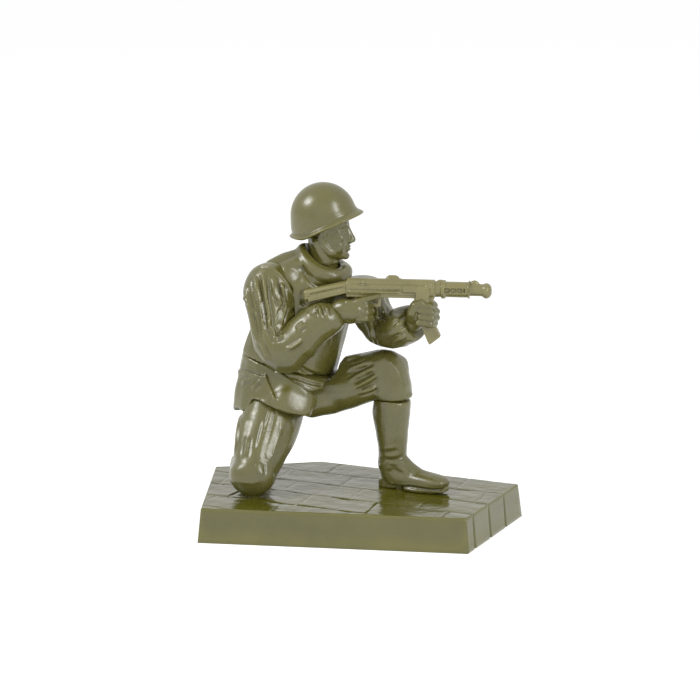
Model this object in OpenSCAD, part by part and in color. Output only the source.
// Kneeling toy soldier with a submachine gun on a paved stand.
// A glue-free plastic figure: every piece plugs into its neighbour with a peg and a socket.
// Millimetres. +X is the way the soldier aims, +Y is away from the viewer, +Z is up.
// The origin is the middle of the stand's underside.

/* [Stand] */
// Length of the stand's front edge
stand_front = 33.5; // [31:0.5:36]
// Length of the left edge
stand_left = 19.8; // [18:0.2:22]
// Length of the right edge, square to the paving courses
stand_right = 17.4; // [16:0.2:19]
// Length of the back edge, along the paving courses
stand_back = 28.3; // [26:0.2:30]
// Thickness of the stand
stand_h = 4.5; // [4:0.1:6]
// How far each side leans out from top to bottom
stand_draft = 0.45; // [0.2:0.05:0.8]
// Thickness of the hollow stand's top and sides
stand_wall = 1.3; // [1:0.1:1.6]
// Wall around the peg sockets under the stand's top
boss_wall = 0.9; // [0.7:0.1:1.2]
// Width of one paving course
course_w = 5.1; // [4.5:0.1:6]
// Length of one paving stone
stone_l = 9.4; // [7:0.2:12]
// Width of the joint between two stones
joint_w = 0.34; // [0.2:0.02:0.5]
// Depth of the joint between two stones
joint_d = 0.26; // [0.15:0.02:0.4]

/* [Pegs] */
// Radius of the pegs that hold the figure on the stand
stand_peg_r = 0.9; // [0.7:0.05:1.1]
// Length of the pegs that hold the figure on the stand
stand_peg_l = 2.4; // [1.8:0.1:2.8]
// Radius of the waist peg
waist_peg_r = 1.6; // [1.2:0.1:2]
// Length of the waist peg
waist_peg_l = 3; // [2:0.1:3.6]
// Radius of the neck
neck_r = 1.75; // [1.5:0.05:1.9]
// Depth of the neck's socket
neck_socket = 2; // [1.6:0.1:2.2]
// Radius of the small pegs at hips, shoulders, boots and wrists
peg_r = 0.7; // [0.5:0.05:0.8]
// Length of the small pegs
peg_l = 1.8; // [1.4:0.1:2.2]
// Radius of the peg that holds the helmet
crown_peg_r = 0.8; // [0.6:0.05:1]
// Length of the peg that holds the helmet
crown_peg_l = 0.7; // [0.5:0.05:0.9]
// Gap around a peg in its socket
peg_gap = 0.05; // [0.03:0.01:0.08]
// Gap between two pieces that face each other
seam_gap = 0.08; // [0.05:0.01:0.15]

/* [Legs] */
// Height of the hips above the paving
hip_h = 12.1; // [11.5:0.1:12.8]
// Half the distance between the hip joints
hip_half = 2.7; // [2.4:0.1:3]
// Place of the hips along the aim
hip_x = -9.4; // [-10:0.1:-8.8]
// Place of the hips across the aim
hip_y = 2.9; // [2:0.1:3.6]
// Turn of the body away from the aim, to the soldier's right
body_yaw = 21.5; // [15:0.5:28]
// Place of the kneeling knee along the aim
knee_x = -13; // [-13.5:0.1:-12.5]
// Place of the kneeling knee across the aim
knee_y = -6; // [-6.6:0.1:-5.4]
// Half thickness of the kneeling knee
knee_half = 2.75; // [2.5:0.05:3]
// Length of the kneeling shin from the knee to the toe cap
shin_l = 13.6; // [12.8:0.1:14.2]
// Place of the standing ankle along the aim
ankle_x = 4.5; // [4:0.1:5]
// Place of the standing ankle across the aim
ankle_y = 0.9; // [0.4:0.1:1.4]
// Height of the raised knee's bend above the paving
raised_knee_h = 15.4; // [14.8:0.1:16]
// Half width of the trousers
trouser_half = 3.25; // [2.9:0.05:3.5]
// Height of the boot's top above the paving
boot_top_h = 11.9; // [11.2:0.1:12.5]
// Half width of the boot's leg
boot_half = 2.2; // [1.9:0.05:2.5]
// Length of the boot's sole
boot_l = 10; // [9.4:0.1:10.6]
// Width of the boot's sole
boot_w = 3.3; // [3:0.1:3.8]
// Thickness of the boot's sole
sole_h = 0.6; // [0.4:0.05:0.8]
// Turn of the standing boot towards the viewer
boot_yaw = -19; // [-25:1:-10]

/* [Body] */
// Height of the waist seam above the paving
waist_h = 15.9; // [15.4:0.1:16.4]
// Half width of the jacket at the waist
waist_half = 6.6; // [6.2:0.1:7]
// Half depth of the jacket at the waist
waist_deep = 4.8; // [4.4:0.1:5.2]
// Height of the coat's hem above the paving
hem_h = 10.25; // [9.8:0.05:10.7]
// Rise of the hem from its middle to the raised thigh
hem_tilt = 7; // [4:1:10]
// Height of the shoulders above the paving
shoulder_h = 26.9; // [26.4:0.1:27.4]
// Half the distance between the shoulder joints
shoulder_half = 5.7; // [5.4:0.1:6]
// How far the shoulders lean along the aim
lean_x = 3.2; // [2.6:0.1:3.6]
// How far the shoulders lean towards the viewer
lean_y = 0.75; // [0.3:0.05:1.2]
// Half depth of the chest
chest_deep = 3.9; // [3.5:0.1:4.2]
// Thickness of the rolled collar
collar_t = 0.85; // [0.6:0.05:0.95]
// How far the collar's middle lies below the neck's root
collar_drop = 0.1; // [0:0.05:0.3]
// Half width of the sleeves
sleeve_half = 2.9; // [2.6:0.05:3.1]
// How far the right elbow hangs below the arm's line
right_elbow_drop = 8.9; // [8.5:0.1:9.3]
// How far the left elbow hangs below the arm's line
left_elbow_drop = 3.9; // [3.6:0.1:4.2]
// Length of a fist
fist_l = 3.7; // [3.3:0.1:4.1]

/* [Head] */
// Height of the neck's root above the paving
neck_h = 28.4; // [28:0.1:28.8]
// Height of the head from chin to crown
head_h = 8.4; // [8:0.1:8.8]
// Length of the head from brow to back
head_l = 6.3; // [5.8:0.1:6.8]
// Width of the head
head_w = 4.9; // [4.5:0.1:5.3]
// Wall of the helmet
helmet_wall = 0.7; // [0.5:0.05:0.9]
// Height of the helmet from its lowest rim to its crown
helmet_h = 7.2; // [6.9:0.1:7.6]
// Half length of the helmet
helmet_half_l = 4.25; // [4.15:0.05:4.5]
// Half width of the helmet
helmet_half_w = 3.85; // [3.7:0.05:4.1]
// How far the rim climbs from the ears to the brim
rim_rise = 3.3; // [2.9:0.1:3.7]
// How far the brim stands out from the helmet's bowl at the front
brim = 0.7; // [0.5:0.05:0.9]
// How far the rim's lip stands out at the back
rim_lip = 0.2; // [0.1:0.05:0.3]

/* [Gun] */
// Height of the gun's bore above the paving
gun_h = 26.9; // [26.4:0.1:27.4]
// Place of the gun across the aim
gun_y = -2; // [-2.4:0.1:-1.6]
// Place of the receiver's rear end along the aim
gun_x = -1.3; // [-1.8:0.1:-0.8]
// Length of the receiver
receiver_l = 10.6; // [10:0.1:11.2]
// Height of the receiver
receiver_h = 2.3; // [2.1:0.1:2.6]
// Width of the receiver
receiver_w = 1.5; // [1.3:0.1:1.7]
// Length of the slotted barrel jacket
jacket_l = 5.2; // [4.7:0.1:5.7]
// Length of the muzzle brake
brake_l = 2.6; // [2.2:0.1:3]
// Half height of the barrel jacket
jacket_r = 1; // [0.85:0.05:1.15]
// Length of the shoulder stock
stock_l = 5.7; // [5.2:0.1:6.2]
// Drop of the stock's end below the receiver
stock_drop = 1.6; // [1.2:0.1:2]
// Radius of the bent magazine, to its middle
magazine_bend_r = 9; // [8:0.2:11]
// Turn of the magazine from its top to its foot
magazine_turn = 35; // [32:1:38]
// Depth of the magazine along the gun
magazine_deep = 1.7; // [1.5:0.1:1.9]
// Width of the magazine
magazine_w = 1.1; // [0.9:0.1:1.3]
// Depth of the well that takes the magazine
well_h = 0.55; // [0.4:0.05:0.7]
// Length of the pistol grip
grip_l = 3.2; // [2.8:0.1:3.6]
// Depth of the pistol grip along the gun
grip_deep = 1.3; // [1.1:0.1:1.5]
// Length of the trigger guard
guard_l = 2.6; // [2.2:0.1:3]
// Height of the trigger guard
guard_h = 1.3; // [1.1:0.1:1.5]
// Thickness of the trigger guard
guard_wall = 0.4; // [0.3:0.05:0.5]
// Width of the sights
sight_w = 0.5; // [0.4:0.05:0.6]
// Height of the sights
sight_h = 0.5; // [0.35:0.05:0.7]
// Length of one slot in the barrel jacket
slot_l = 0.7; // [0.5:0.05:0.7]
// Height of one slot in the barrel jacket
slot_h = 0.55; // [0.4:0.05:0.7]
// Height of one rail of the stock
rail_h = 0.55; // [0.45:0.05:0.65]
// Distance between the stock's two rails
rail_step = 0.75; // [0.7:0.05:0.85]
// Height of the butt plate
butt_h = 2; // [1.8:0.1:2.4]
// Thickness of the butt plate
butt_l = 0.6; // [0.5:0.05:0.8]

/* [Hidden] */
$fn = 48;
// Overrun of every cut past the face that it starts from
over = 0.2;
// A block larger than any piece, for halving a piece along a plane
block = 60;
// Points around a ring of a moulded piece
ring_sides = 20;
// Rings between two shaped rings
ring_steps = 2;
plastic = [0.42, 0.41, 0.24];
gun_plastic = [0.5, 0.48, 0.31];

// Outline of the stand's top, from the front left corner round to the left corner
right_edge_turn = 71.5;
courses_turn = 164;
left_edge_turn = 96;
front_left = [0, 0];
front_right = [stand_front, 0];
right_back = front_right + stand_right * [cos(right_edge_turn), sin(right_edge_turn)];
back = right_back + stand_back * [cos(courses_turn), sin(courses_turn)];
left_back = stand_left * [cos(left_edge_turn), sin(left_edge_turn)];
loose_outline = [front_left, front_right, right_back, back, left_back];
loose_foot = grown_outline(loose_outline, stand_draft);
stand_middle = ([for (k = [0, 1]) min([for (p = loose_foot) p[k]])]
    + [for (k = [0, 1]) max([for (p = loose_foot) p[k]])]) / 2;
stand_outline = [for (p = loose_outline) p - stand_middle];

// Directions of the body: its left, its front, and up
body_left = [cos(body_yaw), sin(body_yaw), 0];
body_front = [sin(body_yaw), -cos(body_yaw), 0];
up = [0, 0, 1];
aim = [1, 0, 0];

// Joints of the skeleton
pelvis = [hip_x, hip_y, stand_h + hip_h];
right_hip = pelvis - hip_half * body_left;
left_hip = pelvis + hip_half * body_left;
kneeling_knee = [knee_x, knee_y, stand_h + knee_half];
standing_ankle = [ankle_x, ankle_y, stand_h];
raised_knee = [ankle_x, ankle_y, stand_h + raised_knee_h];
boot_top = [ankle_x, ankle_y, stand_h + boot_top_h];
shoulders = pelvis + [lean_x, -lean_y, shoulder_h - hip_h];
shoulder_tilt_share = 0.11;
right_shoulder = shoulders - shoulder_half * (body_left - up * shoulder_tilt_share);
left_shoulder = shoulders + shoulder_half * (body_left - up * shoulder_tilt_share);
waist = [hip_x, hip_y, stand_h + waist_h];
spine = unit(shoulders - waist);
// The shin of the kneeling leg lies back along the paving
shin_turn = 98;
shin_way = [cos(shin_turn), sin(shin_turn), 0];
kneeling_toe = kneeling_knee + shin_l * shin_way;

// The gun's bore, its grip and its magazine
bore = [gun_x, gun_y, stand_h + gun_h];
grip_share = 0.16;
grip_top = bore + aim * receiver_l * grip_share - up * receiver_h / 2;
magazine_share = 0.93;
magazine_top = bore + aim * receiver_l * magazine_share - up * receiver_h / 2;
magazine_lean = -2;
magazine_hold_share = 0.44;
right_fist_share = 0.42;

// The hands close on the grip and on the magazine
right_fist = grip_top - up * fist_l * right_fist_share;
// The magazine bends forwards along an arc about a point ahead of its top
magazine_hub = magazine_top + magazine_bend_r * [cos(magazine_lean), 0, sin(magazine_lean)];
left_fist = magazine_point(magazine_hold_share);
right_wrist_shares = [0.86, 0.42, -0.2];
wrist_share = 0.62;
right_wrist = right_fist - fist_l * unit(right_wrist_shares[0] * aim + right_wrist_shares[1] * up
    + right_wrist_shares[2] * body_front) * wrist_share;
left_wrist_shares = [0.62, 0.5, 0.5];
left_wrist = left_fist - fist_l * unit(left_wrist_shares[0] * aim + left_wrist_shares[1] * up
    + left_wrist_shares[2] * body_front) * wrist_share;
right_elbow_shares = [-0.5, 0.16];
right_elbow = (right_shoulder + right_wrist) / 2 - right_elbow_drop * up
    + right_elbow_drop * (right_elbow_shares[0] * body_left + right_elbow_shares[1] * body_front);
left_elbow_shares = [0.1, -0.12];
left_elbow = (left_shoulder + left_wrist) / 2 - left_elbow_drop * up
    + left_elbow_drop * (left_elbow_shares[0] * body_left + left_elbow_shares[1] * body_front);

// The neck's axis, and the head that turns on it
neck_forward_share = 0.24;
neck_foot = [shoulders[0] + shoulder_half * neck_forward_share, shoulders[1], stand_h + neck_h];
chin_share = 0.62;
chin_h = neck_foot[2] + neck_r * chin_share;
head_forward_share = 0.08;
head_middle = [neck_foot[0] + head_l * head_forward_share, neck_foot[1], chin_h];
crown_h = chin_h + head_h;
helmet_back_share = 0.062;
helmet_roof_share = 2.6;
helmet_roof = helmet_wall * helmet_roof_share;
helmet_foot = [
    head_middle[0] - head_l * helmet_back_share, head_middle[1], crown_h + helmet_roof - helmet_h
];

// Vectors and curves
function unit(v) = v / norm(v);
function mix(a, b, t) = a + (b - a) * t;
function flat_of(v) = unit([v[0], v[1], 0]);
function near(rows, i) = rows[max(0, min(len(rows) - 1, i))];
function curve(a, b, c, d, t) =
    (2 * b + (c - a) * t + (2 * a - 5 * b + 4 * c - d) * t * t + (3 * b - a - 3 * c + d) * t * t * t) / 2;
// Shaped rows with smooth rows between them
function smooth_rows(rows, steps = ring_steps) = [
    for (i = [0:len(rows) - 2]) for (k = [0:steps - 1])
        curve(near(rows, i - 1), rows[i], rows[i + 1], near(rows, i + 2), k / steps),
    rows[len(rows) - 1]
];
// A convex outline with every edge moved out by the same distance
function grown_outline(points, by) = [
    for (i = [0:len(points) - 1])
        let (
            before = points[(i + len(points) - 1) % len(points)],
            here = points[i],
            after = points[(i + 1) % len(points)],
            n1 = unit([here[1] - before[1], before[0] - here[0]]),
            n2 = unit([after[1] - here[1], here[0] - after[0]])
        )
        here + by * (n1 + n2) / (1 + n1 * n2)
];

// A ring of points: half width to the side, and half depths outwards and inwards
function ring(middle, side, out, side_half, out_half, in_half, sides = ring_sides) = [
    for (i = [0:sides - 1])
        let (t = 360 * i / sides, s = sin(t))
        middle + side * side_half * cos(t) + out * (s > 0 ? out_half : in_half) * s
];

// A path from a to c round the corner b, rounded to radius r: point, direction and outward normal at a share
function corner_way(a, b, c) = [unit(b - a), unit(c - b)];
function corner_turn(a, b, c) = let (w = corner_way(a, b, c)) acos(w[0] * w[1]);
function corner_cut(a, b, c, r) = r * tan(corner_turn(a, b, c) / 2);
function path_length(a, b, c, r) =
    norm(b - a) + norm(c - b) - 2 * corner_cut(a, b, c, r) + r * corner_turn(a, b, c) * PI / 180;
function path_at(a, b, c, r, share) =
    let (
        w = corner_way(a, b, c),
        inward = unit(w[1] - (w[1] * w[0]) * w[0]),
        far_inward = unit((w[0] * w[1]) * w[1] - w[0]),
        cut = corner_cut(a, b, c, r),
        first = norm(b - a) - cut,
        arc = r * corner_turn(a, b, c) * PI / 180,
        d = share * path_length(a, b, c, r),
        hub = b - w[0] * cut + inward * r,
        turned = (d - first) / r * 180 / PI
    )
    d < first ? [a + w[0] * d, w[0], -inward]
    : d < first + arc ? [
        hub + r * (w[0] * sin(turned) - inward * cos(turned)),
        w[0] * cos(turned) + inward * sin(turned),
        w[0] * sin(turned) - inward * cos(turned)
    ]
    : [b + w[1] * (cut + d - first - arc), w[1], -far_inward];

// Rings of a bent limb. Each row is [share along, side half, outer half, inner half] as shares of half
function limb_rings(a, b, c, r, half, rows, grow = 0) = [
    for (row = smooth_rows(rows))
        let (p = path_at(a, b, c, r, row[0]))
        ring(p[0], cross(p[2], p[1]), p[2], half * row[1] + grow, half * row[2] + grow, half * row[3] + grow)
];

// Rings of a straight limb, with the same rows
function straight_rings(a, c, hint, half, rows) = [
    for (row = smooth_rows(rows))
        let (t = unit(c - a), out = unit(hint - (hint * t) * t))
        ring(mix(a, c, row[0]), cross(out, t), out, half * row[1], half * row[2], half * row[3])
];

// A closed solid through a list of rings
module loft(rings) {
    n = len(rings[0]);
    m = len(rings);
    polyhedron(
        points = [for (r = rings) each r],
        faces = concat(
            [[for (i = [0:n - 1]) i]],
            [for (j = [0:m - 2]) for (i = [0:n - 1]) each [
                [j * n + i, (j + 1) * n + i, j * n + (i + 1) % n],
                [(j + 1) * n + i, (j + 1) * n + (i + 1) % n, j * n + (i + 1) % n]
            ]],
            [[for (i = [n - 1:-1:0]) (m - 1) * n + i]]
        )
    );
}

// A cylinder from a point along a direction
module rod(from, way, length, radius) {
    w = unit(way);
    turn = acos(w[2]);
    translate(from) rotate([0, 0, atan2(w[1], w[0])]) rotate([0, turn, 0]) cylinder(h = length, r = radius);
}

// Everything on the side of a plane that its normal points to
module side_of(point, normal) {
    w = unit(normal);
    translate(point) rotate([0, 0, atan2(w[1], w[0])]) rotate([0, acos(w[2]), 0])
        translate([-block / 2, -block / 2, 0]) cube(block);
}

// A slab between two outlines of as many corners
module slab(foot, top, z_foot, z_top) {
    n = len(foot);
    polyhedron(
        points = concat([for (p = foot) [p[0], p[1], z_foot]], [for (p = top) [p[0], p[1], z_top]]),
        faces = concat(
            [[for (i = [0:n - 1]) i]],
            [for (i = [0:n - 1]) [i, n + i, n + (i + 1) % n, (i + 1) % n]],
            [[for (i = [n - 1:-1:0]) n + i]]
        )
    );
}

// The stand
knee_peg_at = [kneeling_knee[0], kneeling_knee[1]];
foot_peg_share = 0.109;
boot_way = [cos(boot_yaw), sin(boot_yaw), 0];
foot_peg_at = [standing_ankle[0], standing_ankle[1]] + boot_l * foot_peg_share * [boot_way[0], boot_way[1]];
course_way = unit(stand_outline[2] - stand_outline[3]);
course_count = 6;
stone_count = 6;
stone_shift_shares = [0.3, 0.75, 0.15, 0.6, 0.4, 0.85];
side_course_count = 3;

module stand_peg_sockets() {
    for (p = [knee_peg_at, foot_peg_at])
        translate([p[0], p[1], stand_h - stand_peg_l - peg_gap])
            cylinder(h = stand_peg_l + peg_gap + over, r = stand_peg_r + peg_gap);
}

module paving_joints() {
    translate([stand_outline[3][0], stand_outline[3][1], stand_h - joint_d])
        rotate([0, 0, atan2(course_way[1], course_way[0])]) {
            for (k = [1:course_count - 1])
                translate([-block / 2, -k * course_w - joint_w / 2, 0])
                    cube([block, joint_w, joint_d + over]);
            for (k = [0:course_count - 1]) for (j = [-1:stone_count - 2])
                translate([(j + stone_shift_shares[k]) * stone_l, -(k + 1) * course_w, 0])
                    cube([joint_w, course_w, joint_d + over]);
        }
}

// The courses show on the right face as upright joints
module side_joints() {
    edge_way = unit(stand_outline[1] - stand_outline[2]);
    for (k = [1:side_course_count])
        translate([stand_outline[2][0], stand_outline[2][1], stand_h]
            + k * course_w * [edge_way[0], edge_way[1], 0])
            rotate([0, 0, right_edge_turn - 90]) rotate([0, -atan(stand_draft / stand_h), 0])
                translate([-joint_d, -joint_w / 2, -stand_h * 2]) cube([stand_h, joint_w, stand_h * 3]);
}

module stand() {
    color(plastic) difference() {
        union() {
            difference() {
                slab(grown_outline(stand_outline, stand_draft), stand_outline, 0, stand_h);
                slab(
                    grown_outline(stand_outline, stand_draft - stand_wall),
                    grown_outline(stand_outline, -stand_wall), -over, stand_h - stand_wall
                );
            }
            for (p = [knee_peg_at, foot_peg_at])
                translate([p[0], p[1], stand_h - stand_peg_l - peg_gap - boss_wall])
                    cylinder(
                        h = stand_peg_l + boss_wall + peg_gap - stand_wall / 2, r = stand_peg_r + boss_wall
                    );
        }
        stand_peg_sockets();
        paving_joints();
        side_joints();
    }
}

// Planes that part the coat from the legs: the hem, and the front edge over the raised thigh
hem_middle = [pelvis[0], pelvis[1], stand_h + hem_h];
hem_normal = [-sin(hem_tilt), 0, cos(hem_tilt)];
flap_share = 1.06;
flap_middle = pelvis + aim * waist_half * flap_share;
flap_turn = -12;
flap_normal = [cos(flap_turn), sin(flap_turn), 0];

module coat_room(gap = 0) {
    intersection() {
        side_of(hem_middle - gap * up, hem_normal);
        side_of(flap_middle + gap * flap_normal, -flap_normal);
    }
}

// The coat's skirt: rows of [share of the height, half width, front half, back half] as shares of the waist
skirt_rows = [
    [0, 1.1, 1.5, 1.22], [0.25, 1.09, 1.42, 1.2], [0.5, 1.07, 1.28, 1.14], [0.75, 1.03, 1.12, 1.06],
    [0.94, 0.98, 1, 0.99], [1.1, 0.96, 0.96, 0.97], [1.42, 0.95, 0.95, 0.96]
];
hem_drop_share = 0.3;
hem_drop = waist_half * hem_drop_share;
skirt_foot = hem_middle - up * hem_drop;

module coat_skirt_form() {
    loft([for (row = smooth_rows(skirt_rows))
        ring(
            mix(skirt_foot, waist, row[0]), body_left, -body_front,
            waist_half * row[1], waist_deep * row[3], waist_deep * row[2]
        )]);
}

module coat_skirt() {
    color(plastic) difference() {
        intersection() {
            coat_skirt_form();
            coat_room();
            side_of(waist, -spine);
        }
        rod(waist + spine * over, -spine, waist_peg_l + peg_gap + over, waist_peg_r + peg_gap);
        rod(right_hip_seat - up * over, up, peg_l + peg_gap + over, peg_r + peg_gap);
        rod(left_hip_seat + flap_normal * over, -flap_normal, peg_l + peg_gap + over, peg_r + peg_gap);
    }
}

// Trouser legs: rows of [share along, side half, outer half, inner half] as shares of trouser_half
thigh_rows = [
    [0, 1.15, 0.95, 0.9], [0.14, 1.26, 1.02, 0.96], [0.34, 1.26, 1.0, 0.94], [0.54, 1.16, 0.92, 0.88],
    [0.7, 0.98, 0.82, 0.82], [0.82, 0.84, 0.76, 0.76], [0.91, 0.68, 0.62, 0.64], [0.97, 0.46, 0.42, 0.44],
    [1, 0.22, 0.2, 0.22]
];
shin_rows = [
    [0, 0.24, 0.22, 0.22], [0.05, 0.56, 0.5, 0.5], [0.14, 0.82, 0.74, 0.7], [0.3, 0.94, 0.84, 0.8],
    [0.55, 0.92, 0.84, 0.82], [0.8, 0.86, 0.82, 0.8], [1, 0.76, 0.74, 0.74]
];
left_leg_rows = [
    [0, 0.5, 0.55, 0.6], [0.06, 0.84, 0.9, 1.04], [0.2, 0.98, 0.98, 1.18], [0.42, 1, 0.96, 1.04],
    [0.56, 0.96, 0.9, 0.82], [0.66, 0.92, 0.92, 0.64], [0.73, 0.9, 1.04, 0.62], [0.79, 0.9, 0.94, 0.7],
    [0.86, 0.92, 0.72, 0.86], [0.94, 0.94, 0.68, 1.0], [1, 0.82, 0.62, 0.9]
];
knee_bend_share = 0.72;
knee_bend = trouser_half * knee_bend_share;
right_boot_share = 0.42;
right_boot_top = kneeling_knee + shin_way * shin_l * right_boot_share;
knee_cap_shares = [0.85, 0.8];
right_start_share = 0.38;
right_leg_start = right_hip + right_start_share * hip_half * body_left;
thigh_end = kneeling_knee + unit(kneeling_knee - right_hip) * knee_half * knee_cap_shares[0];
shin_start = kneeling_knee - shin_way * knee_half * knee_cap_shares[1];
left_start_share = 0.2;
left_leg_start = left_hip + left_start_share * hip_half * flat_of(raised_knee - left_hip);
raised_corner_share = 0.2;
left_knee_corner = raised_knee + up * trouser_half * raised_corner_share;
right_hip_seat = on_plane(right_hip, -up, hem_middle, hem_normal);
hip_seat_share = 0.35;
left_hip_seat = on_plane(
    left_hip - up * hip_half * hip_seat_share, left_knee_corner - left_hip, flap_middle, flap_normal
);
// Where a line from a point along a direction meets a plane
function on_plane(from, way, point, normal) = from + way * ((point - from) * normal) / (way * normal);

module right_leg_form() {
    loft(straight_rings(right_leg_start, thigh_end, -shin_way, trouser_half, thigh_rows));
    loft(straight_rings(shin_start, right_boot_top, -up, trouser_half, shin_rows));
}

module left_leg_form() {
    loft(limb_rings(left_leg_start, left_knee_corner, boot_top, knee_bend, trouser_half, left_leg_rows));
}

module right_leg() {
    color(plastic) difference() {
        union() {
            difference() {
                right_leg_form();
                coat_room(seam_gap);
                side_of([0, 0, stand_h], -up);
            }
            rod(right_hip_seat - up * trouser_half / 2, up, peg_l + trouser_half / 2, peg_r);
            rod([knee_peg_at[0], knee_peg_at[1], stand_h - stand_peg_l], up,
                stand_peg_l + knee_half, stand_peg_r);
        }
        rod(right_boot_top + shin_way * over, -shin_way, peg_l + peg_gap + over, peg_r + peg_gap);
    }
}

module left_leg() {
    color(plastic) difference() {
        union() {
            difference() {
                left_leg_form();
                coat_room(seam_gap);
                right_leg_form();
            }
            rod(left_hip_seat + flap_normal * trouser_half / 2, -flap_normal,
                peg_l + trouser_half / 2, peg_r);
        }
        rod(boot_top - up * over, up, peg_l + peg_gap + over, peg_r + peg_gap);
    }
}

// Boots: a leg, a foot and a sole. Rows as shares of the boot leg's half width
boot_leg_rows = [
    [0, 1.0, 1.14, 0.94], [0.03, 1.06, 1.2, 1.0], [0.2, 0.98, 1.06, 0.96], [0.42, 0.86, 0.84, 0.92],
    [0.54, 0.78, 0.76, 0.86], [0.64, 0.74, 0.9, 0.8], [0.73, 0.74, 0.86, 0.64], [0.81, 0.78, 0.62, 0.56],
    [0.91, 0.78, 0.52, 0.46], [0.97, 0.58, 0.4, 0.34], [1, 0.24, 0.2, 0.16]
];
boot_bend_share = 0.8;
boot_toe_share = 0.775;
boot_heel_share = 0.216;
foot_mid_share = 0.62;
foot_mid_h = boot_half * foot_mid_share;
sole_front_share = 0.385;
sole_heel_shares = [0.3, 0.36];
heel_back_share = 0.28;
heel_lift_share = 1.8;
heel_long_share = 0.1;
heel_waist_share = 0.95;

// A boot whose leg comes down to the ankle from the given top, with the sole on z = 0 and the toe along +X
module boot_form(top) {
    toe = [boot_l * boot_toe_share, 0, foot_mid_h];
    corner = [-boot_half * heel_back_share, 0, foot_mid_h];
    intersection() {
        loft(limb_rings(top, corner, toe, boot_half * boot_bend_share, boot_half, boot_leg_rows));
        side_of([0, 0, sole_h / 2], up);
        side_of(top, -up);
    }
    boot_sole();
}

module boot_sole() {
    heel_r = boot_w * sole_heel_shares[1];
    heel = [-boot_l * boot_heel_share + heel_r, 0];
    ball = [boot_l * sole_front_share, 0];
    linear_extrude(sole_h) hull() {
        translate(ball) circle(r = boot_w / 2);
        translate([boot_l * (1 - boot_heel_share) - boot_w * sole_heel_shares[0], 0])
            circle(r = boot_w * sole_heel_shares[0]);
        translate(ball - [boot_l * sole_heel_shares[0], 0]) circle(r = boot_w * sole_heel_shares[1]);
    }
    linear_extrude(sole_h * heel_lift_share) hull() {
        translate(heel) circle(r = heel_r);
        translate(heel + [boot_l * heel_long_share, 0]) circle(r = heel_r * heel_waist_share);
    }
}

module left_boot() {
    color(plastic) union() {
        translate(standing_ankle) rotate([0, 0, boot_yaw])
            boot_form([0, 0, boot_top_h - seam_gap]);
        rod(boot_top - up * boot_half, up, boot_half + peg_l, peg_r);
        rod([foot_peg_at[0], foot_peg_at[1], stand_h - stand_peg_l], up, stand_peg_l + sole_h, stand_peg_r);
    }
}

// The kneeling boot lies back with its toe cap on the paving and its heel up
right_boot_rows = [
    [0, 0.98, 0.98, 0.98], [0.04, 1.06, 1.06, 1.06], [0.2, 0.98, 1, 0.98], [0.42, 0.9, 0.92, 0.88],
    [0.56, 0.82, 0.86, 0.76], [0.66, 0.8, 0.9, 0.7], [0.76, 0.8, 0.84, 0.64], [0.85, 0.84, 0.66, 0.58],
    [0.93, 0.8, 0.52, 0.5], [0.98, 0.56, 0.38, 0.36], [1, 0.24, 0.2, 0.16]
];
right_heel_share = 0.5;
right_heel = right_boot_top + shin_way * (shin_l * (1 - right_boot_share))
    + up * (right_heel_share * boot_half);
right_toe_shares = [0.55, 0.2];
right_toe = [kneeling_toe[0], kneeling_toe[1], stand_h + boot_half * right_toe_shares[1]]
    + shin_way * boot_half * right_toe_shares[0];
right_bend_share = 0.8;

module right_boot() {
    color(plastic) {
        difference() {
            loft(limb_rings(
                right_boot_top - shin_way * boot_half / 2, right_heel, right_toe,
                boot_half * right_bend_share, boot_half, right_boot_rows
            ));
            side_of(right_boot_top + shin_way * seam_gap, -shin_way);
            side_of([0, 0, stand_h], -up);
        }
        rod(right_boot_top + shin_way * boot_half, -shin_way, boot_half + peg_l, peg_r);
    }
}

// Torso: rows of [share of the spine, half width, front half, back half] as shares of shoulder and chest
torso_rows = [
    [-0.18, 1.14, 1.18, 1.2], [0, 1.14, 1.18, 1.2], [0.16, 1.13, 1.16, 1.2], [0.38, 1.11, 1.1, 1.18],
    [0.6, 1.1, 1.08, 1.14], [0.78, 1.08, 1.02, 1.1], [0.95, 1.07, 0.94, 1.06], [1.06, 1.0, 0.82, 1.0],
    [1.12, 0.84, 0.68, 0.9], [1.16, 0.62, 0.56, 0.78], [1.19, 0.46, 0.5, 0.68]
];
torso_top_share = 0.66;
// The rings lean with the shoulders, and above these they rise towards the right shoulder and the nape
collar_rise_shares = [1.6, 2];

// The neck's height as a share of the spine; the rings above torso_top_share close in on the neck
neck_level = (neck_foot[2] - waist[2]) / (shoulders[2] - waist[2]);
function torso_ring(row) =
    let (
        on_spine = mix(waist, shoulders, row[0]),
        to_neck = (neck_foot - mix(waist, shoulders, neck_level))
            * max(0, row[0] - torso_top_share) / (neck_level - torso_top_share)
    )
    ring(
        on_spine + [to_neck[0], to_neck[1], 0],
        body_left - up * (shoulder_tilt_share * min(1, row[0]) + collar_rise_shares[0] * max(0, row[0] - 1)),
        -body_front + up * collar_rise_shares[1] * max(0, row[0] - 1),
        shoulder_half * row[1], chest_deep * row[3], chest_deep * row[2]
    );

module torso_form() {
    loft([for (row = smooth_rows(torso_rows)) torso_ring(row)]);
}

// The rolled collar leans down to the front around the neck
collar_axis_shares = [0.1, 0.4];
collar_axis = unit(up + collar_axis_shares[0] * body_left + collar_axis_shares[1] * body_front);

module collar_form() {
    translate(neck_foot - up * collar_drop) rotate([0, 0, atan2(collar_axis[1], collar_axis[0])])
        rotate([0, acos(collar_axis[2]), 0]) rotate_extrude()
            translate([neck_r + collar_t / 2, 0]) circle(r = collar_t);
}

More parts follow.
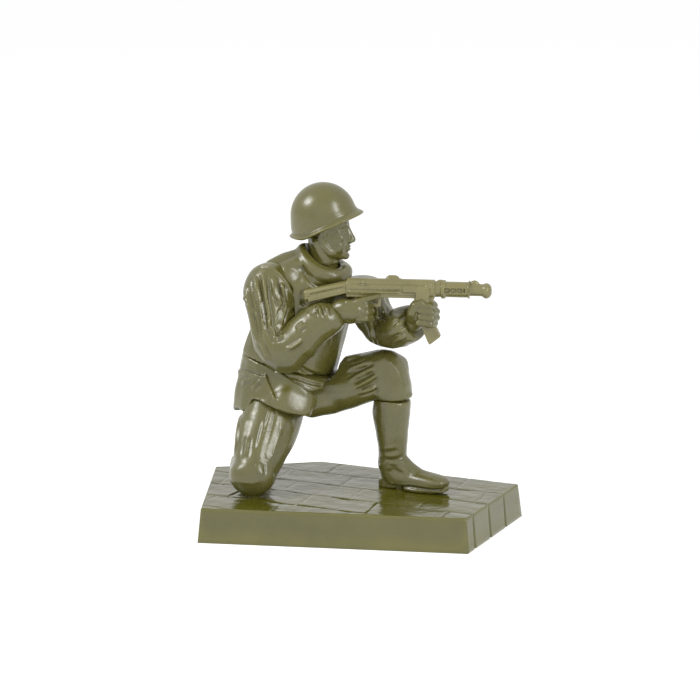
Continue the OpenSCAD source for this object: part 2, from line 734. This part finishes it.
// Room above the collar for the head to turn
collar_room_share = 0.6;
head_room_shares = [0.05, 0.25, 0.54];
module head_room() {
    translate([neck_foot[0], neck_foot[1], chin_h - head_h * head_room_shares[0]])
        cylinder(
            h = head_h * (head_room_shares[0] + head_room_shares[1]),
            r1 = neck_r + collar_t * collar_room_share, r2 = head_l * head_room_shares[2]
        );
}

// Arms: rows of [share along, side half, outer half, inner half] as shares of the sleeve's half width
right_arm_rows = [
    [0, 0.3, 0.3, 0.3], [0.03, 0.72, 0.74, 0.7], [0.09, 1.0, 1.04, 0.96], [0.2, 1.14, 1.16, 1.04],
    [0.36, 1.08, 1.06, 0.9], [0.48, 0.98, 1.02, 0.76], [0.58, 0.96, 1.04, 0.74], [0.68, 0.98, 0.96, 0.84],
    [0.8, 0.92, 0.84, 0.86], [0.92, 0.82, 0.76, 0.8], [0.985, 0.74, 0.68, 0.72], [1, 0.66, 0.6, 0.64]
];
left_arm_rows = [
    [0, 0.3, 0.3, 0.3], [0.04, 0.72, 0.72, 0.7], [0.11, 0.98, 1.0, 0.94], [0.24, 1.04, 1.06, 0.96],
    [0.4, 0.98, 0.94, 0.82], [0.52, 0.92, 0.86, 0.72], [0.62, 0.92, 0.86, 0.7], [0.72, 0.96, 0.88, 0.8],
    [0.86, 0.98, 0.88, 0.9], [0.98, 0.9, 0.82, 0.86], [1, 0.8, 0.72, 0.76]
];
elbow_bend_share = 0.86;
elbow_bend = sleeve_half * elbow_bend_share;
// Each sleeve starts in a cap above its shoulder joint
sleeve_cap_shares = [0.66, 0.6];
right_arm_start = right_shoulder + unit(right_shoulder - right_elbow) * sleeve_half * sleeve_cap_shares[0];
left_arm_start = left_shoulder + unit(left_shoulder - left_elbow) * sleeve_half * sleeve_cap_shares[1];

module right_arm_form(grow = 0) {
    loft(limb_rings(
        right_arm_start, right_elbow, right_wrist, elbow_bend, sleeve_half, right_arm_rows, grow
    ));
}

module left_arm_form(grow = 0) {
    loft(limb_rings(
        left_arm_start, left_elbow, left_wrist, elbow_bend, sleeve_half, left_arm_rows, grow
    ));
}

// The plane that parts the torso's halves holds the spine and the shoulders
torso_front_way = unit(cross(body_left, spine));
torso_pin_share = 0.5;
torso_pin_at = mix(waist, shoulders, torso_pin_share);
// Pegs of the arms, gripped between the torso's halves
arm_peg_drop_share = 0.5;
arm_peg_share = 0.8;
arm_peg_reach = sleeve_half + peg_l * arm_peg_share;
right_peg_from = right_shoulder - up * sleeve_half * arm_peg_drop_share;
left_peg_from = left_shoulder - up * sleeve_half * arm_peg_drop_share;

module torso_half(front) {
    way = front ? torso_front_way : -torso_front_way;
    difference() {
        intersection() {
            union() {
                intersection() {
                    torso_form();
                    side_of(waist + spine * seam_gap, spine);
                }
                collar_form();
                rod(waist - spine * waist_peg_l, spine, waist_peg_l + waist_peg_r, waist_peg_r);
            }
            side_of(waist + way * seam_gap / 2, way);
        }
        rod(neck_foot - up * neck_socket, up, block, neck_r + peg_gap);
        head_room();
        right_arm_form(seam_gap);
        left_arm_form(seam_gap);
        rod(right_peg_from, body_left, arm_peg_reach + peg_gap, peg_r + peg_gap);
        rod(left_peg_from, -body_left, arm_peg_reach + peg_gap, peg_r + peg_gap);
        if (front)
            translate(bore) stock(seam_gap);
        else
            rod(torso_pin_at + way * -over, way, peg_l + peg_gap + over, peg_r + peg_gap);
    }
    if (front)
        rod(torso_pin_at + way * peg_l, -way, peg_l * 2, peg_r);
}

module torso_front() {
    color(plastic) torso_half(true);
}

module torso_back() {
    color(plastic) torso_half(false);
}

module right_arm() {
    color(plastic) difference() {
        union() {
            right_arm_form();
            rod(right_peg_from, body_left, arm_peg_reach, peg_r);
        }
        rod(right_wrist + unit(right_fist - right_wrist) * over, right_wrist - right_fist,
            peg_l + peg_gap + over, peg_r + peg_gap);
    }
}

module left_arm() {
    color(plastic) difference() {
        union() {
            left_arm_form();
            rod(left_peg_from, -body_left, arm_peg_reach, peg_r);
        }
        rod(left_wrist + unit(left_fist - left_wrist) * over, left_wrist - left_fist,
            peg_l + peg_gap + over, peg_r + peg_gap);
    }
}

// Fists: rows of [share along, half height, outer half, inner half] as shares of the fist's length
fist_rows = [
    [-0.42, 0.3, 0.26, 0.26], [-0.3, 0.38, 0.32, 0.32], [-0.08, 0.46, 0.38, 0.38], [0.16, 0.48, 0.4, 0.4],
    [0.34, 0.4, 0.34, 0.34], [0.46, 0.2, 0.18, 0.18]
];

module fist(middle, wrist) {
    way = unit(middle - wrist);
    side = unit(cross(way, up));
    over_way = cross(side, way);
    loft([for (row = smooth_rows(fist_rows))
        ring(
            middle + way * fist_l * row[0], over_way, side,
            fist_l * row[1], fist_l * row[2], fist_l * row[3]
        )]);
    rod(middle - way * fist_l * wrist_share / 2, -way, fist_l * wrist_share / 2 + peg_l, peg_r);
}

module right_hand() {
    color(plastic) difference() {
        fist(right_fist, right_wrist);
        gun_form(seam_gap);
        right_arm_form(seam_gap);
    }
}

module left_hand() {
    color(plastic) difference() {
        fist(left_fist, left_wrist);
        magazine_form(seam_gap);
        gun_form(seam_gap);
    }
}

// The gun, in its own frame: x forwards from the receiver's rear, z up from the bore
grip_lean = 14;
slot_count = 4;
receiver_side_share = 0.78;
receiver_crown_share = 0.2;
sight_share = 0.5;
well_share = 0.72;
brake_share = 1.08;
jacket_ring_shares = [0.02, 0.28, 0.94];
ring_swell_share = 1.2;
front_sight_share = 0.2;
grip_w_share = 0.8;
stock_top_share = 0.3;
slot_start_share = 0.36;
slot_pitch_share = 0.15;

module gun_form(grow = 0) {
    translate(bore) {
        receiver(grow);
        barrel_jacket(grow);
        grip(grow);
        stock(grow);
    }
}

module receiver(grow) {
    translate([-grow, -receiver_w / 2 - grow, -receiver_h / 2 - grow])
        cube([receiver_l + 2 * grow, receiver_w + 2 * grow, receiver_h * receiver_side_share + 2 * grow]);
    translate([-grow, 0, receiver_h * receiver_crown_share])
        rotate([0, 90, 0]) cylinder(h = receiver_l + 2 * grow, r = receiver_w / 2 + grow);
    translate([receiver_l * sight_share, -sight_w / 2 - grow, receiver_h / 2 - over])
        cube([sight_h * 2, sight_w + 2 * grow, sight_h + over + grow]);
    translate([receiver_l * magazine_share - magazine_deep * well_share, -receiver_w / 2 - grow,
        -receiver_h / 2 - well_h - grow])
        cube([magazine_deep * 2 * well_share, receiver_w + 2 * grow, well_h + over + grow]);
}

module barrel_jacket(grow) {
    translate([receiver_l - over, 0, 0]) rotate([0, 90, 0])
        cylinder(h = jacket_l + over, r = jacket_r + grow);
    translate([receiver_l + jacket_l - over, 0, 0]) rotate([0, 90, 0])
        cylinder(h = brake_l + over, r = jacket_r * brake_share + grow);
    for (share = jacket_ring_shares)
        translate([receiver_l + jacket_l * share, 0, 0]) rotate([0, 90, 0])
            cylinder(h = sight_w, r = jacket_r * ring_swell_share + grow);
    translate([receiver_l + jacket_l + brake_l * front_sight_share, -sight_w / 2 - grow, 0])
        cube([sight_h, sight_w + 2 * grow, jacket_r * brake_share + sight_h / 2]);
}

module grip(grow) {
    translate([receiver_l * grip_share, 0, -receiver_h / 2]) rotate([0, -grip_lean, 0])
        translate([-grip_deep / 2 - grow, -receiver_w * grip_w_share / 2 - grow, -grip_l - grow])
            cube([grip_deep + 2 * grow, receiver_w * grip_w_share + 2 * grow, grip_l + grow + over]);
    translate([receiver_l * grip_share, -guard_wall / 2 - grow, -receiver_h / 2 - guard_h - grow])
        cube([guard_l, guard_wall + 2 * grow, guard_wall + 2 * grow]);
    translate([
        receiver_l * grip_share + guard_l - guard_wall, -guard_wall / 2 - grow, -receiver_h / 2 - guard_h
    ])
        cube([guard_wall + grow, guard_wall + 2 * grow, guard_h + over]);
}

module stock(grow) {
    for (rail = [0, 1])
        sheared_rail(rail, grow);
    translate([-stock_l - butt_l / 2 - grow, -receiver_w / 2 - grow, -stock_drop - butt_h / 2 - grow])
        cube([butt_l + 2 * grow, receiver_w + 2 * grow, butt_h + 2 * grow]);
}

module sheared_rail(rail, grow) {
    top = receiver_h * stock_top_share - rail * rail_step;
    end_top = top - stock_drop;
    translate([0, receiver_w / 2 + grow, 0]) rotate([90, 0, 0])
        linear_extrude(receiver_w + 2 * grow)
            polygon([
                [over, top + grow], [-stock_l, end_top + grow],
                [-stock_l, end_top - rail_h - grow], [over, top - rail_h - grow]
            ]);
}

module gun() {
    color(gun_plastic) difference() {
        gun_form();
        translate(bore) {
            for (k = [0:slot_count - 1]) {
                slot_x = receiver_l + jacket_l * (slot_start_share + slot_pitch_share * k);
                translate([slot_x, -jacket_r * 2, -slot_h / 2]) cube([slot_l, jacket_r * 4, slot_h]);
            }
            translate([receiver_l + jacket_l + brake_l - sight_h, 0, 0]) rotate([0, 90, 0])
                cylinder(h = sight_h + over, r = jacket_r / 2);
        }
        magazine_form(peg_gap);
    }
}

// The middle of the magazine at a share of its bend
function magazine_point(share) =
    let (t = 180 + magazine_lean + magazine_turn * share)
    magazine_hub + magazine_bend_r * [cos(t), 0, sin(t)];
// How far the magazine's arc goes on up into the well
magazine_rise = 6;

module magazine_form(grow = 0) {
    translate(magazine_hub) rotate([90, 0, 0])
        rotate([0, 0, 180 + magazine_lean - magazine_rise])
            rotate_extrude(angle = magazine_turn + magazine_rise)
                translate([magazine_bend_r - magazine_deep / 2 - grow, -magazine_w / 2 - grow])
                    square([magazine_deep + 2 * grow, magazine_w + 2 * grow]);
}

module gun_magazine() {
    color(gun_plastic) magazine_form();
}

// Head: rows of [share of the height, half width, face half, back half] as shares of the head's sizes
head_rows = [
    [0, 0.22, 0.36, 0.1], [0.04, 0.34, 0.42, 0.2], [0.14, 0.42, 0.44, 0.36], [0.3, 0.47, 0.45, 0.45],
    [0.46, 0.49, 0.45, 0.48], [0.6, 0.49, 0.45, 0.48], [0.74, 0.46, 0.42, 0.46], [0.88, 0.37, 0.33, 0.37],
    [1, 0.22, 0.18, 0.22]
];
nose_shares = [0.32, 0.5, 0.16, 0.22];
nose_root_share = 0.36;

module head_form() {
    loft([for (row = smooth_rows(head_rows))
        ring(
            head_middle + up * head_h * row[0], [0, -1, 0], aim,
            head_w * row[1], head_l * row[2], head_l * row[3]
        )]);
}

// A wedge of a nose, from its bridge down to its tip
module nose() {
    face = head_middle + aim * head_l * nose_root_share;
    tip = face + up * head_h * nose_shares[0] + aim * head_l * nose_shares[3];
    foot = face + up * head_h * nose_shares[0];
    bridge = face + up * head_h * nose_shares[1];
    half = [0, head_w * nose_shares[2], 0];
    polyhedron(
        points = [foot - half, foot + half, bridge, tip],
        faces = [[0, 2, 1], [0, 1, 3], [1, 2, 3], [0, 3, 2]]
    );
}

module head() {
    color(plastic) union() {
        head_form();
        nose();
        rod(neck_foot - up * (neck_socket - peg_gap), up, neck_socket + head_h / 2, neck_r);
        rod([head_middle[0], head_middle[1], crown_h - crown_peg_l], up, crown_peg_l * 2, crown_peg_r);
    }
}

// Helmet: the rim is low at the back and the ears and climbs to the brim at the front
rim_climb_share = 0.5;
rim_climb_power = 0.9;
rim_flare_share = 0.14;
// The bowl is upright below this share of its height, and round above it
bowl_foot_share = 0.41;
bowl_tip_share = 0.08;
helmet_shares = [0, 0.07, 0.14, 0.28, 0.42, 0.55, 0.67, 0.78, 0.87, 0.94, 0.98, 1];
hollow_shares = [0, 0.14, 0.3, 0.5, 0.7, 0.86, 1];

function rim_at(turn) =
    rim_rise * pow(max(0, (cos(turn) + rim_climb_share) / (1 + rim_climb_share)), rim_climb_power);
function bowl_share(z) =
    let (rise = max(0, z / helmet_h - bowl_foot_share) / (1 - bowl_foot_share))
    max(bowl_tip_share, sqrt(max(0, 1 - rise * rise)));
function helmet_ring(share, shrink, lift) = [
    for (i = [0:ring_sides - 1])
        let (
            t = 360 * i / ring_sides,
            z = mix(rim_at(t), helmet_h - lift, share),
            lip = mix(rim_lip, brim, pow((1 + cos(t)) / 2, 2)),
            flare = lip * max(0, 1 - share / rim_flare_share) - shrink
        )
        helmet_foot + [
            (helmet_half_l * bowl_share(z) + flare) * cos(t),
            (helmet_half_w * bowl_share(z) + flare) * sin(t), z
        ]
];

module helmet() {
    color(plastic) difference() {
        loft(concat(
            [for (k = [len(hollow_shares) - 1:-1:0])
                helmet_ring(hollow_shares[k], helmet_wall, helmet_roof)],
            [for (share = helmet_shares) helmet_ring(share, 0, 0)]
        ));
        rod([head_middle[0], head_middle[1], crown_h - over], up,
            crown_peg_l + peg_gap + over, crown_peg_r + peg_gap);
    }
}

stand();
coat_skirt();
right_leg();
right_boot();
left_leg();
left_boot();
torso_front();
torso_back();
right_arm();
right_hand();
left_arm();
left_hand();
gun();
gun_magazine();
head();
helmet();
